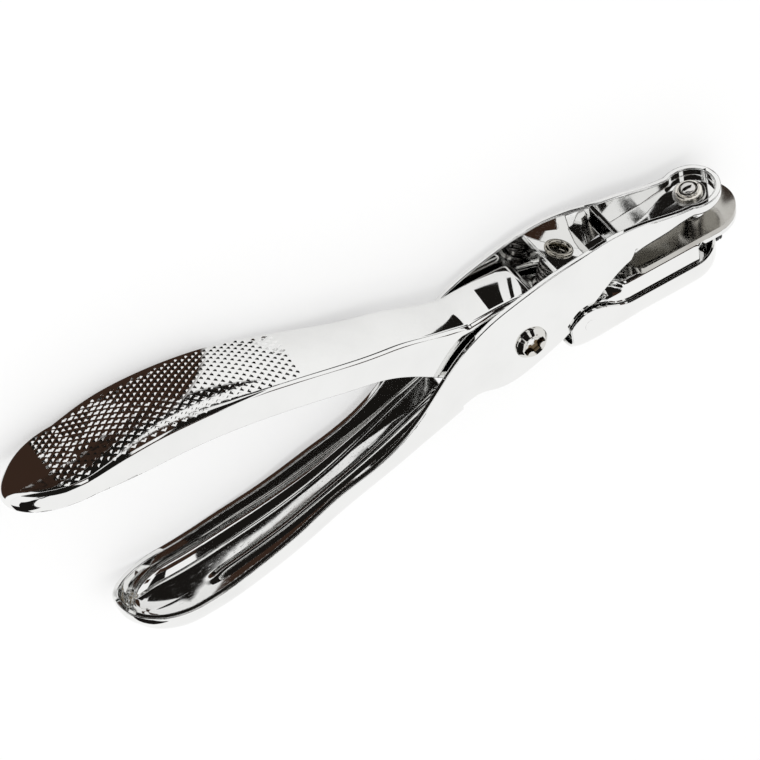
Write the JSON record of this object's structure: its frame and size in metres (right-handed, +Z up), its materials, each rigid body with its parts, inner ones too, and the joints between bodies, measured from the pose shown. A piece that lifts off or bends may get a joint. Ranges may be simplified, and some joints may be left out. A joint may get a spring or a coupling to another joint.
{
  "type": "hand-held single-hole paper punch",
  "caption": "Plier-type paper punch: two crossing pressed-steel levers on one pivot, a round punch, a die plate and a hinged chip tray.",
  "frame": {"origin": "on the pivot axis, in the plane that the tool rests on when it lies on its side", "axes": "+X along the jaws from the pivot to the tip, +Y from the lower handle to the upper handle, +Z up along the pivot axis"},
  "size_m": [0.1572, 0.0576, 0.018],
  "materials": {
    "lever_chrome": "bright chrome on pressed steel",
    "tray_chrome": "bright chrome on thin pressed steel",
    "die_steel": "ground steel plate, lightly straw coloured",
    "rivet_steel": "turned steel",
    "screw_nickel": "nickel plated",
    "bush_brass": "plain brass",
    "washer_steel": "stamped steel",
    "punch_steel": "hardened and ground steel",
    "collar_steel": "turned and plated steel",
    "spring_steel": "drawn spring wire",
    "eyelet_nickel": "nickel plated, darkened inside",
    "knob_black": "black moulded plastic"
  },
  "bodies": {
    "lower_lever_body": {"lower_lever": "lever_chrome", "pivot_screw": "screw_nickel", "pivot_nut": "screw_nickel", "washer_screw_side": "washer_steel", "washer_nut_side": "washer_steel", "punch_pin": "punch_steel", "punch_washer": "washer_steel", "punch_collar": "collar_steel", "spring_eyelet": "eyelet_nickel", "return_spring": "spring_steel"},
    "upper_lever_body": {"upper_lever": "lever_chrome", "pivot_bush": "bush_brass", "die_plate": "die_steel", "die_rivet_rear": "rivet_steel", "die_rivet_front": "rivet_steel", "spring_seat": "rivet_steel", "tray_rivet_screw_side": "rivet_steel", "tray_rivet_nut_side": "rivet_steel", "tray_collar_screw_side": "washer_steel", "tray_collar_nut_side": "washer_steel"},
    "tray_body": {"chip_tray": "tray_chrome", "tray_knob": "knob_black", "knob_stud": "rivet_steel"}
  },
  "joints": [
    {"name": "lever_pivot", "type": "hinge", "parent": "lower_lever_body", "child": "upper_lever_body", "pos_m": [0, 0, 0.009], "axis": [0, 0, 1], "range_deg": [0, 3.3], "stiffness_Nm_per_rad": 0.5, "springref_deg": -11.46, "deforming": ["return_spring"]},
    {"name": "tray_hinge", "type": "hinge", "parent": "upper_lever_body", "child": "tray_body", "pos_m": [0.013, -0.0034, 0.009], "axis": [0, 0, -1], "range_deg": [0, 25]}
  ]
}
